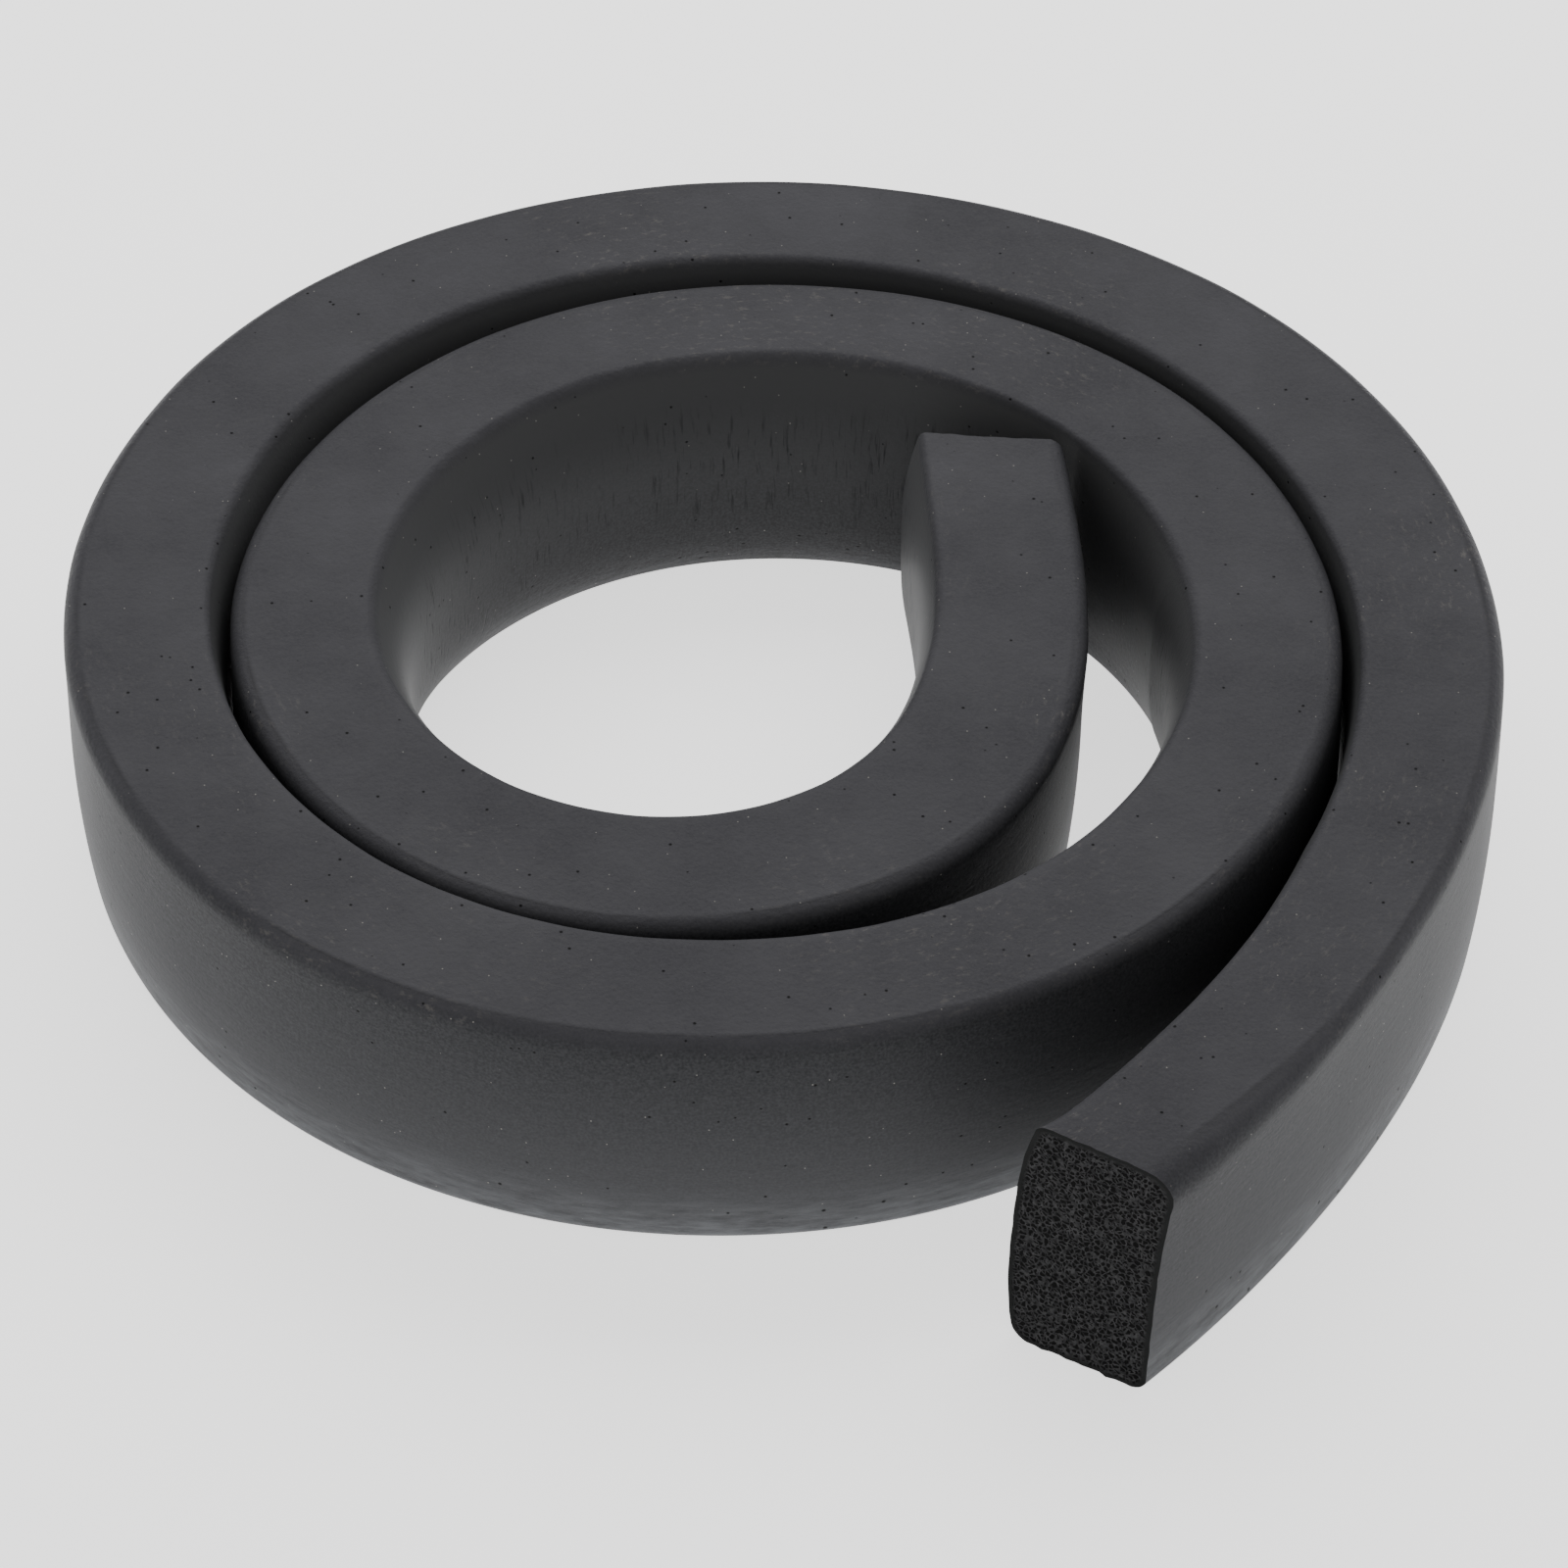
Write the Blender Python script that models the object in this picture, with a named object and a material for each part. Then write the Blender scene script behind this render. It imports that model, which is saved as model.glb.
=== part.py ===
"""A strip of sponge rubber door seal, lying on its narrow edge in a loose, open spiral.

The strip is one extruded piece with a plain four-sided section and two cut ends. It starts
at the inner end and winds outwards, clockwise seen from above. Metres, +Z up, the floor at
z = 0, and the origin under the middle of the whole spiral.
"""

import math

import bmesh
import bpy
import numpy as np

# The strip itself. The thickness is between the long edges, and the walls swell past them.
STRIP_LENGTH = 1.004
STRIP_THICKNESS = 0.0185
STRIP_HEIGHT = 0.038

# The rounding of the four long edges, named as they lie in the spiral
TOP_INNER_RADIUS = 0.0010
TOP_OUTER_RADIUS = 0.0030
BOTTOM_INNER_RADIUS = 0.0015
BOTTOM_OUTER_RADIUS = 0.0025

# How far the walls swell at half height. The wall on the inside of a bend is squeezed, so
# it swells further the tighter the bend, until it nearly meets the turn inside it. A wall
# that is held back comes out again at BULGE_RECOVERS of the length along the strip.
OUTER_BULGE = 0.0014
INNER_BULGE_STRAIGHT = 0.0015
INNER_BULGE_PER_BEND = 0.000165
BULGE_CLEARANCE = 0.0004
BULGE_RECOVERS = 0.12

# The spiral. A reach is the distance from the spiral's axis to the tangent of the strip's
# inner wall, at each eighth of a turn. The first loop has a reach of its own at each one.
# From there on each turn lies outside the turn inside it, with a gap between their walls,
# and the last gap is kept as far as the strip is long.
FIRST_LOOP_REACH = (0.035, 0.0385, 0.0435, 0.043, 0.040, 0.0375, 0.039, 0.0485)
TURN_GAPS = (0.0105, 0.0175, 0.0115, 0.0035, 0.002, 0.004, 0.0065, 0.0045, 0.0035, 0.003)
START_HEADING = math.radians(317)

# Nothing holds the ends bent. The inner one springs out until it comes this near to the
# turn around it, and the cut end springs straight over its last stretch.
INNER_END_GAP = 0.001
CUT_END_RELAXES = 0.140

# The knife cuts aren't square. Each skew is how far the cut turns, seen from above, and
# the strip leans inwards at its foot as it nears the outer cut.
INNER_CUT_SKEW = math.radians(12)
OUTER_CUT_SKEW = math.radians(6)
CUT_END_LEAN = math.radians(4)
LEAN_FADES_OVER = 0.100

# How finely the solid is divided. Sections stand closer together where the strip bends
# more, and STATIONS_PER_LENGTH weighs a metre of length against a radian of bend.
STATIONS = 104
STATIONS_PER_LENGTH = 6.0
WALL_STEPS = 5
CORNER_STEPS = 3
ROUTE_STEPS = 4000
GAP_TRIES = 24

EIGHTH = math.radians(45)
EIGHTHS_IN_A_TURN = 8

# Two places on the strip are on different turns once they are this many thicknesses apart
INNER_CLEAR_OF_ITSELF = 8

RUBBER_COLOUR = (0.040, 0.040, 0.045, 1.0)
RUBBER_ROUGHNESS = 0.75


def running_sum(values, places):
    """The integral of values over places, by trapezia, starting at 0."""
    steps = (values[1:] + values[:-1]) / 2 * np.diff(places)
    return np.concatenate([[0.0], np.cumsum(steps)])


def smooth_curve(values, place):
    """A natural cubic spline through values one step apart: its height and bend."""
    count = len(values)
    system = np.eye(count)
    right = np.zeros(count)
    for i in range(1, count - 1):
        system[i, i - 1 : i + 2] = (1, 4, 1)
        right[i] = 6 * (values[i - 1] - 2 * values[i] + values[i + 1])
    bend = np.linalg.solve(system, right)
    i = np.clip(place.astype(int), 0, count - 2)
    t = place - i
    sag = (1 - t) * t * ((2 - t) * bend[i] + (1 + t) * bend[i + 1]) / 6
    height = (1 - t) * values[i] + t * values[i + 1] - sag
    return height, (1 - t) * bend[i] + t * bend[i + 1]


def bent_route(reaches):
    """Turning, bend radius and length along a route with these reaches."""
    turned = np.linspace(0, (len(reaches) - 1) * EIGHTH, ROUTE_STEPS)
    reach, bend = smooth_curve(np.array(reaches), turned / EIGHTH)
    bend_radius = reach + bend / EIGHTH**2
    return turned, bend_radius, running_sum(bend_radius, turned)


def held_route():
    """The route of the strip's middle line if its ends were held bent as well."""
    reaches = [reach + STRIP_THICKNESS / 2 for reach in FIRST_LOOP_REACH]
    gaps = list(TURN_GAPS)
    route = None
    while route is None or route[-1][-1] < STRIP_LENGTH:
        for gap in gaps:
            reaches.append(reaches[-EIGHTHS_IN_A_TURN] + STRIP_THICKNESS + gap)
        gaps = [TURN_GAPS[-1]]
        route = bent_route(reaches)
    return route


def eased(share):
    """0 to 1, leaving and arriving gently."""
    share = np.clip(share, 0, 1)
    return share * share * (3 - 2 * share)


def middle_line(route, inner_end_relaxes):
    """The strip's middle line: length along it, points, headings and curvature."""
    turned, bend_radius, length_at = route
    along = np.linspace(0, STRIP_LENGTH, ROUTE_STEPS)
    turned_at = np.interp(along, length_at, turned)
    bent = eased(along / inner_end_relaxes)
    bent *= np.sin(np.clip((STRIP_LENGTH - along) / CUT_END_RELAXES, 0, 1) * math.pi / 2)
    curvature = bent / np.interp(along, length_at, bend_radius)

    # The middle of the strip keeps its heading, and both ends open out from there.
    middle = ROUTE_STEPS // 2
    heading = -running_sum(curvature, along)
    heading += START_HEADING - turned_at[middle] - heading[middle]
    points = np.stack([running_sum(np.cos(heading), along), running_sum(np.sin(heading), along)], axis=1)
    return along, points, heading, curvature


def outwards_of(heading):
    """Level directions to the left of these headings, away from the spiral's hollow."""
    return np.stack([-np.sin(heading), np.cos(heading)], axis=-1)


def gap_at_inner_end(line):
    """How far the inner end's outer edge lies inside the wall of the turn around it."""
    along, points, heading, _ = line
    outwards = outwards_of(heading)
    edge = points[0] + outwards[0] * STRIP_THICKNESS / 2
    around = along > INNER_CLEAR_OF_ITSELF * STRIP_THICKNESS
    seen = (points - outwards * STRIP_THICKNESS / 2)[around] - edge
    apart = np.hypot(*seen.T)
    nearest = apart.argmin()
    return math.copysign(apart[nearest], seen[nearest] @ outwards[around][nearest])


def sprung_line():
    """The middle line with its inner end sprung out as far as INNER_END_GAP lets it."""
    route = held_route()
    shortest, longest = 0.0, FIRST_LOOP_REACH[0] * math.tau / 2
    for _ in range(GAP_TRIES):
        relaxes = (shortest + longest) / 2
        line = middle_line(route, relaxes)
        if gap_at_inner_end(line) > INNER_END_GAP:
            shortest = relaxes
        else:
            longest = relaxes
    return line


def stations(line):
    """Places along the strip that lie closer together where it bends more."""
    along, points, heading, curvature = line
    measure = heading[0] - heading + along * STATIONS_PER_LENGTH
    chosen = np.interp(np.linspace(0, measure[-1], STATIONS), measure, along)
    x, y, heading, curvature = (np.interp(chosen, along, values) for values in (*points.T, heading, curvature))
    return chosen, np.stack([x, y], axis=1), heading, curvature


def inner_bulges(line, places):
    """How far the inner wall swells at each place, held back by the turn inside it."""
    line_along, line_points, line_heading, _ = line
    along, points, heading, curvature = places
    bulges = INNER_BULGE_STRAIGHT + INNER_BULGE_PER_BEND * curvature
    outer_wall = line_points + outwards_of(line_heading) * (STRIP_THICKNESS / 2 + OUTER_BULGE)
    inwards = -outwards_of(heading)
    for i, point in enumerate(points):
        seen = outer_wall - point
        inside = (seen @ inwards[i] > 0) & (line_along < along[i] - INNER_CLEAR_OF_ITSELF * STRIP_THICKNESS)
        if inside.any():
            nearest = np.hypot(*seen[inside].T).min()
            room = nearest - STRIP_THICKNESS / 2 - BULGE_CLEARANCE
            bulges[i] = min(bulges[i], room)
    apart = np.abs(along[:, None] - along[None, :])
    return (bulges + BULGE_RECOVERS * apart).min(axis=1)


def corner(centre_u, centre_z, radius, start):
    """A quarter circle, counter-clockwise from the start angle."""
    angles = start + np.linspace(0, math.pi / 2, CORNER_STEPS + 1)
    return [(centre_u + radius * math.cos(a), centre_z + radius * math.sin(a)) for a in angles]


def swollen(u, z, bulge):
    """A point of a side wall, moved out by the wall's swelling at its height."""
    height = 2 * z / STRIP_HEIGHT - 1
    return u + bulge * (1 - height * height), z


def section(inner_bulge):
    """The outline across the strip, counter-clockwise: u outwards, z up."""
    half = STRIP_THICKNESS / 2
    top = STRIP_HEIGHT
    outer_low = corner(half - BOTTOM_OUTER_RADIUS, BOTTOM_OUTER_RADIUS, BOTTOM_OUTER_RADIUS, -math.pi / 2)
    outer_high = corner(half - TOP_OUTER_RADIUS, top - TOP_OUTER_RADIUS, TOP_OUTER_RADIUS, 0)
    inner_high = corner(TOP_INNER_RADIUS - half, top - TOP_INNER_RADIUS, TOP_INNER_RADIUS, math.pi / 2)
    inner_low = corner(BOTTOM_INNER_RADIUS - half, BOTTOM_INNER_RADIUS, BOTTOM_INNER_RADIUS, math.pi)
    climb = np.linspace(BOTTOM_OUTER_RADIUS, top - TOP_OUTER_RADIUS, WALL_STEPS + 1)[1:-1]
    fall = np.linspace(top - TOP_INNER_RADIUS, BOTTOM_INNER_RADIUS, WALL_STEPS + 1)[1:-1]
    outer = outer_low + [(half, z) for z in climb] + outer_high
    inner = inner_high + [(-half, z) for z in fall] + inner_low
    return [swollen(u, z, OUTER_BULGE) for u, z in outer] + [swollen(u, z, -inner_bulge) for u, z in inner]


def strip_corners():
    """Rings of corners along the strip, with the origin under the middle of its box."""
    line = sprung_line()
    places = stations(line)
    along, points, heading, _ = places
    ahead = np.stack([np.cos(heading), np.sin(heading)], axis=1)
    outwards = outwards_of(heading)
    bulges = inner_bulges(line, places)
    lean = math.tan(CUT_END_LEAN) * eased(1 - (STRIP_LENGTH - along) / LEAN_FADES_OVER)
    skew = np.zeros(STATIONS)
    skew[0], skew[-1] = math.tan(INNER_CUT_SKEW), -math.tan(OUTER_CUT_SKEW)
    rings = []
    for i, point in enumerate(points):
        ring = []
        for u, z in section(bulges[i]):
            place = point + outwards[i] * (u + lean[i] * (z - STRIP_HEIGHT / 2)) + ahead[i] * skew[i] * u
            ring.append((*place, z))
        rings.append(ring)
    corners = np.array(rings)
    low, high = corners.min(axis=(0, 1)), corners.max(axis=(0, 1))
    return corners - ((low[0] + high[0]) / 2, (low[1] + high[1]) / 2, 0)


def strip_mesh():
    """The section carried along the middle line, closed by a flat cut at each end."""
    mesh = bmesh.new()
    rings = [[mesh.verts.new(place) for place in ring] for ring in strip_corners()]
    count = len(rings[0])
    for near, far in zip(rings, rings[1:]):
        for i in range(count):
            after = (i + 1) % count
            mesh.faces.new((near[i], near[after], far[after], far[i]))
    mesh.faces.new(list(reversed(rings[0])))
    mesh.faces.new(rings[-1])
    bmesh.ops.recalc_face_normals(mesh, faces=mesh.faces)
    data = bpy.data.meshes.new("sponge_rubber_strip")
    mesh.to_mesh(data)
    mesh.free()
    return data


def rubber_material():
    material = bpy.data.materials.new("sponge_rubber")
    material.use_nodes = True
    shader = material.node_tree.nodes["Principled BSDF"]
    shader.inputs["Base Color"].default_value = RUBBER_COLOUR
    shader.inputs["Roughness"].default_value = RUBBER_ROUGHNESS
    shader.inputs["Metallic"].default_value = 0.0
    return material


def main():
    for old in list(bpy.data.objects):
        bpy.data.objects.remove(old, do_unlink=True)
    data = strip_mesh()
    data.materials.append(rubber_material())
    data.shade_smooth()
    data.set_sharp_from_angle(angle=math.radians(40))
    strip = bpy.data.objects.new("sponge_rubber_strip", data)
    bpy.context.scene.collection.objects.link(strip)


main()
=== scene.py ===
# %% [markdown]
# # A strip of sponge rubber door seal, laid down in a loose spiral
#
# The real thing is one piece: a metre of black EPDM sponge rubber, moulded with a closed skin and
# cut off with a knife at both ends. It stands on its narrow edge, and nothing holds it, so its
# turns lie a few millimetres apart and its ends have sprung open.
#
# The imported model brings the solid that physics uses. This lesson makes the strip once more with
# a fine skin, squeezed walls, ragged cuts and open cells, and lets it stand for that solid.

import math

import bpy
import numpy as np
from mathutils import Matrix, Vector


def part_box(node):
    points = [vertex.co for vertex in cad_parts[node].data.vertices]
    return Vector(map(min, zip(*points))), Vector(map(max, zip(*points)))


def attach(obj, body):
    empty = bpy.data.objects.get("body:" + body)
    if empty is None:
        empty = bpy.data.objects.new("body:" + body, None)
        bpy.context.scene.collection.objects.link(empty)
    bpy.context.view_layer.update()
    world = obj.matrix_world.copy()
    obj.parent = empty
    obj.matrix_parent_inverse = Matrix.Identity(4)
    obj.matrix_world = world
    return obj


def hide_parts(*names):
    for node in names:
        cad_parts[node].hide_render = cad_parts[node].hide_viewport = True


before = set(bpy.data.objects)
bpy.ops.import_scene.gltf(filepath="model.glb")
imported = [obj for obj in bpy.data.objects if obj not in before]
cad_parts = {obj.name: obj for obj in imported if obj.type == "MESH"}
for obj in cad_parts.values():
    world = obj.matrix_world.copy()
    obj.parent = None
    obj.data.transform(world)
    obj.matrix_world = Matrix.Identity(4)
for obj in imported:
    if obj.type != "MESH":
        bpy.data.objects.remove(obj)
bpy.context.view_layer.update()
STRIP_SOLID = "sponge_rubber_strip"
solid_low, solid_high = (np.array(corner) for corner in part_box(STRIP_SOLID))


def in_mm(metres, digits=1):
    """Lengths in millimetres, rounded for printing."""
    return np.round(np.array(metres, dtype=float) * 1000, digits)


print("packed nodes:", len(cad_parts), " solid, mm:", in_mm(solid_high - solid_low))

# %% [markdown]
# ## The camera
#
# The strip is seen from the front and half above, through a long lens that keeps the near and far
# sides of the coil nearly the same size. The camera comes first, so that each later step can be
# looked at through it.

# %% Camera
CAMERA_PLACE = (0.0005, -0.7293, 0.7278)
CAMERA_LOOKS_DOWN = math.radians(44.49)
CAMERA_ROLL = math.radians(0.61)
CAMERA_LENS = 170.4

camera_data = bpy.data.cameras.new("front_camera")
camera_data.lens = CAMERA_LENS
camera_data.sensor_width = 36.0
camera_data.clip_end = 10.0
camera = bpy.data.objects.new("front_camera", camera_data)
bpy.context.scene.collection.objects.link(camera)
tilt = Matrix.Rotation(math.pi / 2 - CAMERA_LOOKS_DOWN, 3, "X")
camera.rotation_euler = (tilt @ Matrix.Rotation(CAMERA_ROLL, 3, "Z")).to_euler()
camera.location = CAMERA_PLACE
bpy.context.scene.camera = camera
print("camera from the coil, m:", round(Vector(CAMERA_PLACE).length, 2))

# %% [markdown]
# ## The line that the strip follows
#
# A spiral spring or a coiled seal is awkward to draw point by point, because neighbouring turns
# must keep clear of each other. It is easier to state its reach: how far the strip's inner wall
# lies from the axis in each of eight directions. The first loop has its own reaches, and every
# later turn is the turn inside it plus one thickness and a gap. A smooth curve through the
# reaches gives the bend radius everywhere, and adding up the bends gives the line.

# %% Sizes of the strip, in metres
STRIP_LENGTH = 1.005
STRIP_THICKNESS = 0.0185
STRIP_HEIGHT = 0.038
half = STRIP_THICKNESS / 2
EIGHTH = math.radians(45)
FIRST_LOOP_REACH = (0.035, 0.0385, 0.0435, 0.043, 0.040, 0.0375, 0.039, 0.0485)
TURN_GAPS = (0.0105, 0.0175, 0.0115, 0.0035, 0.002, 0.004, 0.0065, 0.0045, 0.0035, 0.003, 0.003, 0.003)
START_HEADING = math.radians(317)
HEADING_KEPT_AT = 0.502
INNER_END_RELAXES = 0.068
CUT_END_KEEPS_BEND = 0.48
CUT_END_RELAXES_FROM, CUT_END_RELAXES_TO = 0.134, 0.022
TURN_SAMPLES = 4000
STATIONS = 881
print("strip, mm:", in_mm([STRIP_LENGTH, STRIP_HEIGHT, STRIP_THICKNESS]))


# %% The middle line, from the inner end outwards
def running_sum(values, places):
    """The integral of values over places, by trapezia."""
    return np.concatenate([[0.0], np.cumsum((values[1:] + values[:-1]) / 2 * np.diff(places))])


def smooth_curve(values, place):
    """A natural cubic spline through values one step apart: its height and its bend."""
    count = len(values)
    system, right = np.eye(count), np.zeros(count)
    for i in range(1, count - 1):
        system[i, i - 1 : i + 2] = (1, 4, 1)
        right[i] = 6 * (values[i - 1] - 2 * values[i] + values[i + 1])
    bend = np.linalg.solve(system, right)
    i = np.clip(place.astype(int), 0, count - 2)
    t = place - i
    sag = (1 - t) * t * ((2 - t) * bend[i] + (1 + t) * bend[i + 1]) / 6
    return (1 - t) * values[i] + t * values[i + 1] - sag, (1 - t) * bend[i] + t * bend[i + 1]


def eased(share):
    """0 to 1, leaving and arriving gently."""
    share = np.clip(share, 0, 1)
    return share * share * (3 - 2 * share)


def strip_line(steps):
    """Length along the strip, points, headings and curvature."""
    reaches = [reach + half for reach in FIRST_LOOP_REACH]
    one_turn = len(reaches)
    for gap in TURN_GAPS:
        reaches.append(reaches[-one_turn] + STRIP_THICKNESS + gap)
    turned = np.linspace(0, (len(reaches) - 1) * EIGHTH, TURN_SAMPLES)
    reach, bend = smooth_curve(np.array(reaches), turned / EIGHTH)
    bend_radius = reach + bend / EIGHTH**2
    length_at = running_sum(bend_radius, turned)
    along = np.linspace(0, STRIP_LENGTH, steps)
    turned_at = np.interp(along, length_at, turned)
    bent = eased(along / INNER_END_RELAXES)
    relaxing = (STRIP_LENGTH - along - CUT_END_RELAXES_TO) / (CUT_END_RELAXES_FROM - CUT_END_RELAXES_TO)
    bent *= CUT_END_KEEPS_BEND + (1 - CUT_END_KEEPS_BEND) * eased(relaxing)
    curvature = bent / np.interp(along, length_at, bend_radius)
    heading = -running_sum(curvature, along)
    turned_there = np.interp(HEADING_KEPT_AT, along, turned_at)
    heading += START_HEADING - turned_there - np.interp(HEADING_KEPT_AT, along, heading)
    points = np.stack([running_sum(np.cos(heading), along), running_sum(np.sin(heading), along)], axis=1)
    return along, points, heading, curvature


along, line, heading, curvature = strip_line(STATIONS)
ahead = np.stack([np.cos(heading), np.sin(heading)], axis=1)
outwards = np.stack([-ahead[:, 1], ahead[:, 0]], axis=1)
print("turns:", round(float(heading[0] - heading[-1]) / math.tau, 2))
print("tightest bend radius, mm:", in_mm(1 / curvature.max()))

# %% [markdown]
# ## How sponge swells when it is bent
#
# Bending squeezes the wall on the inside of the curve, and squeezed sponge has to go somewhere:
# the wall swells at half height, most where the bend is tightest, until it nearly meets the
# turn inside it. The outside wall only keeps the slight roundness of the moulding.

# %% Swelling of both walls
OUTER_SWELL = 0.0014
INNER_SWELL_STRAIGHT = 0.0015
INNER_SWELL_PER_BEND = 0.000165
SWELL_CLEARANCE = 0.0003
SWELL_RECOVERS = 0.12
CLEAR_OF_ITSELF = 8 * STRIP_THICKNESS

inner_swell = INNER_SWELL_STRAIGHT + INNER_SWELL_PER_BEND * curvature
outer_wall = line + outwards * (half + OUTER_SWELL)
for i, point in enumerate(line):
    seen = outer_wall - point
    inside = (seen @ -outwards[i] > 0) & (along < along[i] - CLEAR_OF_ITSELF)
    if inside.any():
        room = np.hypot(*seen[inside].T).min() - half - SWELL_CLEARANCE
        inner_swell[i] = min(inner_swell[i], room)
between = np.abs(along[:, None] - along[None, :])
inner_swell = (inner_swell + SWELL_RECOVERS * between).min(axis=1)
print("inner wall swells, mm:", in_mm([inner_swell.min(), inner_swell.max()]))

# %% [markdown]
# ## The section
#
# The section is a rectangle with four different corners: the mould leaves the top inner one
# nearly sharp, and the top outer one is a soft round that starts at a faint crease. Its points
# are spread so that the corners get enough of them, and one extra point beside the crease keeps
# its fold narrow. One such ring is set at every station of the line. A shape with one closed
# outline carried along a line needs no modifier: the rings are joined by quads.

# %% One ring of the section, counter-clockwise from the foot of the outer wall
TOP_INNER_RADIUS = 0.0010
TOP_OUTER_RADIUS = 0.0026
TOP_OUTER_ARC = math.radians(68)
CREASE_FOLD = 0.0004
ROUNDER_RADIUS = 0.0042
ROUNDER_OVER = 0.050
BOTTOM_INNER_RADIUS = 0.0008
BOTTOM_OUTER_RADIUS = 0.0022
ROUNDER_BOTTOM_RADIUS = 0.0019
CORNER_POINTS = 5
WALL_POINTS = 18
EDGE_POINTS = 12


def corner_arc(centre, radius, start, sweep=math.pi / 2):
    angles = start + np.linspace(0, sweep, CORNER_POINTS + 1)
    return np.stack([centre[0] + radius * np.cos(angles), centre[1] + radius * np.sin(angles)], axis=1)


def run_between(start, end, count):
    return np.linspace(start, end, count + 2)[1:-1]


def section_ring(top_outer_radius, top_outer_arc, low_outer_radius, low_inner_radius):
    """The section as points (across, height), with three of its corners as asked."""
    low_outer = corner_arc((half - low_outer_radius, low_outer_radius), low_outer_radius, -math.pi / 2)
    arc_height = STRIP_HEIGHT - top_outer_radius * math.sin(top_outer_arc)
    top_outer = corner_arc((half - top_outer_radius, arc_height), top_outer_radius, 0, top_outer_arc)
    past_crease = top_outer[-1:] - (CREASE_FOLD, 0)
    top_inner_centre = (TOP_INNER_RADIUS - half, STRIP_HEIGHT - TOP_INNER_RADIUS)
    top_inner = corner_arc(top_inner_centre, TOP_INNER_RADIUS, math.pi / 2)
    low_inner = corner_arc((low_inner_radius - half, low_inner_radius), low_inner_radius, math.pi)
    return np.concatenate([
        low_outer, run_between(low_outer[-1], top_outer[0], WALL_POINTS),
        top_outer, past_crease, run_between(past_crease[-1], top_inner[0], EDGE_POINTS),
        top_inner, run_between(top_inner[-1], low_inner[0], WALL_POINTS),
        low_inner, run_between(low_inner[-1], low_outer[0], EDGE_POINTS),
    ])


ring = section_ring(TOP_OUTER_RADIUS, TOP_OUTER_ARC, BOTTOM_OUTER_RADIUS, BOTTOM_INNER_RADIUS)
rounder_ring = section_ring(ROUNDER_RADIUS, math.pi / 2, ROUNDER_BOTTOM_RADIUS, ROUNDER_BOTTOM_RADIUS)
on_outer = ring[:, 0] > 0
girth = np.concatenate([[0], np.cumsum(np.hypot(*np.diff(ring, axis=0).T))])
print("points in a ring:", len(ring), " girth, mm:", in_mm(girth[-1]))

# %% [markdown]
# ## Pulled and pushed edges
#
# Bending pulls the top edges about: where the strip bends tightly its outer edge spreads and its
# inner edge draws in or out, by a millimetre or so. A curve through a handful of values says how
# far each top edge stands from its place in the plain section, every 77 mm from the inner end on.
# Moulded sponge is never quite true either, so a few slow waves with fixed phases move
# everything by tenths of a millimetre, the same way every run.

# %% Edges in millimetres, waves in metres
MM = 0.001
DRAW_SPACING = 0.077
INNER_EDGE_DRAW = (-1.0, 1.2, 0.2, -1.5, -1.5, 0.4, 0.4, -0.1, -0.2, 0.5, 0.8, 0.7, -0.6, -1.1, -1.1)
OUTER_EDGE_DRAW = (2.2, 1.2, 1.1, 0.5, -0.1, 0.5, 0.0, 1.1, 1.6, -0.8, -0.3, 0.4, 1.0, 0.9, 0.9)
TOP_TILT = 0.0017
EDGE_WAVES = (0.163, 0.071, 0.037, 0.019, 0.011)
WAVE_HEIGHT, OUTER_EDGE_WAVE_HEIGHT = 0.00030, 0.00035
INNER_EDGE_SEED, OUTER_EDGE_SEED, TOP_SEED, WALL_SEED = 3, 4, 5, 8


def waves(place, lengths, seed):
    """A slow unevenness between about -1 and 1, in which long waves are high and short ones low."""
    phases = np.random.default_rng(seed).uniform(0, math.tau, len(lengths))
    heights = [length * np.sin(math.tau * place / length + phase) for length, phase in zip(lengths, phases)]
    return sum(heights) / sum(lengths)


inner_draw = smooth_curve(np.array(INNER_EDGE_DRAW), along / DRAW_SPACING)[0] * MM
outer_draw = smooth_curve(np.array(OUTER_EDGE_DRAW), along / DRAW_SPACING)[0] * MM
inner_draw += WAVE_HEIGHT * waves(along, EDGE_WAVES, INNER_EDGE_SEED)
outer_draw += OUTER_EDGE_WAVE_HEIGHT * waves(along, EDGE_WAVES, OUTER_EDGE_SEED)
top_wander = WAVE_HEIGHT * waves(along, EDGE_WAVES, TOP_SEED)
wall_wander = WAVE_HEIGHT * waves(along, EDGE_WAVES, WALL_SEED)
print("inner edge draws, mm:", in_mm([inner_draw.min(), inner_draw.max()]))

# %% [markdown]
# ## Rings along the line
#
# Every point of a ring moves sideways by the swelling of its wall, which is greatest at half
# height and fuller on the inside, and by the draw of its edge, which is greatest at the top. The
# outer wall's swelling dies away before the outer cut. Near both ends the rings also lean over,
# until the last one lies in the plane of the knife's cut, which wasn't held quite square. At the
# outer cut the foot stands forward of the top, and the top inner corner curls out a little.

# %% The strip's rings
INNER_CUT_SKEW = math.radians(12)
OUTER_CUT_SKEW = math.radians(16)
OUTER_CUT_RAKE = math.radians(4.5)
CUT_LEANS_OVER = 0.018
CORNER_CURL, CURL_LENGTH = 0.0008, 0.005
CUT_END_SWELL = -0.0004
CUT_END_FLATTENS_FROM, CUT_END_FLATTENS_OVER = 0.10, 0.06

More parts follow.
